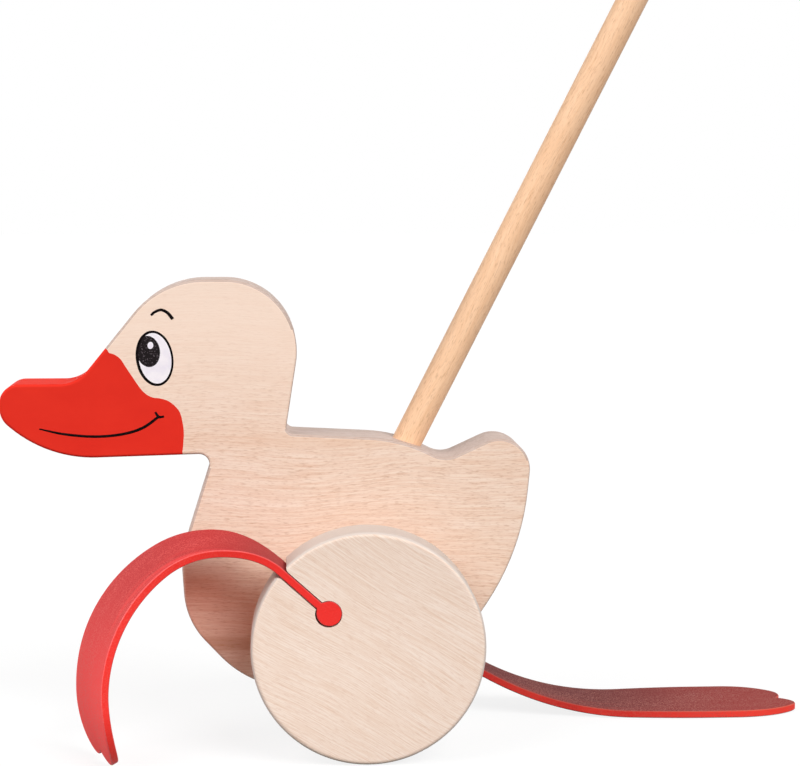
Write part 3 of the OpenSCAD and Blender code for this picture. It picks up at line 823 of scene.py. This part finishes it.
# Studio: a plain white floor, broad soft lamps in front on the right and left and one behind, a panel on the
# left, two narrow lamps on the near wheel's rim and the red strap's glow on the wood under it. The floor and
# the room look white to the lens and to gloss, and the floor keeps the toy's soft shadow.
floor_reach, floor_drop = 9000, 0.3
white = (1, 1, 1, 1)


def seen_by_lens(tree):
    """1 for what the lens sees, straight or in gloss or glass, and 0 for light on other surfaces."""
    ray = put(tree, "ShaderNodeLightPath", {}).outputs
    seen = worked(tree, "MAXIMUM", ray["Is Camera Ray"], ray["Is Glossy Ray"])
    return worked(tree, "MAXIMUM", seen, ray["Is Transmission Ray"])


def mixed(tree, share, first, second):
    return put(tree, "ShaderNodeMixShader", {0: share, 1: first, 2: second}).outputs[0]


floor_white, floor_tree = new_finish("floor_white")
floor_paint = put(floor_tree, "ShaderNodeBsdfDiffuse", {"Color": (0.95, 0.95, 0.95, 1)}).outputs[0]
floor_glow = put(floor_tree, "ShaderNodeEmission", {"Color": white, "Strength": 1.03}).outputs[0]
floor_bounce = put(floor_tree, "ShaderNodeBsdfDiffuse", {"Color": (0.16, 0.14, 0.12, 1)}).outputs[0]
floor_look = mixed(floor_tree, 0.82, floor_paint, floor_glow)
floor_mix = mixed(floor_tree, seen_by_lens(floor_tree), floor_bounce, floor_look)
put(floor_tree, "ShaderNodeOutputMaterial", {0: floor_mix})
floor_corners = [
    (x * floor_reach, y * floor_reach, -floor_drop) for x, y in ((-1, -1), (1, -1), (1, 1), (-1, 1))
]
floor = add_piece("floor", floor_corners, [[0, 1, 2, 3]])
floor.data.materials.append(floor_white)

room = bpy.data.worlds.new("room")
room.use_nodes = True
room_tree = room.node_tree
room_tree.nodes.clear()
fill_light = put(room_tree, "ShaderNodeBackground", {"Color": white, "Strength": 0.15}).outputs[0]
white_room = put(room_tree, "ShaderNodeBackground", {"Color": white, "Strength": 1}).outputs[0]
room_mix = mixed(room_tree, seen_by_lens(room_tree), fill_light, white_room)
put(room_tree, "ShaderNodeOutputWorld", {0: room_mix})
bpy.context.scene.world = room


def hung_lamp(name, kind, strength, spot, way):
    """A new lamp at the spot, shining that way, and the object that holds it."""
    lamp = bpy.data.lights.new(name, kind)
    lamp.energy = strength
    holder = bpy.data.objects.new(name, lamp)
    holder.location = spot
    holder.rotation_euler = Vector(way).to_track_quat("-Z", "Y").to_euler()
    bpy.context.scene.collection.objects.link(holder)
    return lamp, holder


for name, strength, spread, way in (
    ("key_lamp", 2.85, 36, (-0.429, 0.661, -0.616)),
    ("left_lamp", 1.35, 36, (0.604, 0.507, -0.616)),
    ("back_lamp", 1.1, 40, (0.1, -0.98, -0.17)),
):
    lamp, holder = hung_lamp(name, "SUN", strength, (0, 0, 0), way)
    lamp.angle = math.radians(spread)
    holder.visible_glossy = name != "back_lamp"

panel, _ = hung_lamp("left_panel", "AREA", 0.95, (-0.55, 0.02, 0.1), (0.46, -0.05, -0.05))
panel.size = 0.25

for name, strength, tint, radius, cone, softness, spot, way in (
    ("left_snoot", 0.42, (1, 1, 1), 0.015, 19, 0.6, (-0.24, -0.18, 0.035), (0.202, 0.145, 0)),
    ("right_snoot", 0.25, (1, 1, 1), 0.03, 17, 0.8, (0.25, -0.28, 0.02), (-0.23, 0.238, 0)),
    ("glow_under_arch", 0.011, (1, 0.16, 0.08), 0.01, 100, 1, (-0.06, -0.045, 0.05),
     (0.008, 0.033, -0.008)),
):
    snoot, holder = hung_lamp(name, "SPOT", strength, spot, way)
    snoot.color = tint
    snoot.shadow_soft_size = radius
    snoot.spot_size = math.radians(cone)
    snoot.spot_blend = softness
    holder.visible_camera = holder.visible_glossy = False

# Camera: a long lens in front of the duck, a little above its back and turned slightly to the right.
# It stands where the photograph was taken from, and nothing in front or behind is out of focus.
lens = bpy.data.cameras.new("lens")
lens.sensor_fit = "HORIZONTAL"
lens.sensor_width = 36
lens.lens = 96.28
lens.clip_start = 0.01
camera = bpy.data.objects.new("camera", lens)
camera.location = (-0.03133, -0.72279, 0.1852)
camera.rotation_euler = (math.radians(84.934), 0, math.radians(-3.477))
bpy.context.scene.collection.objects.link(camera)
bpy.context.scene.camera = camera
bpy.context.scene.view_settings.view_transform = "Standard"
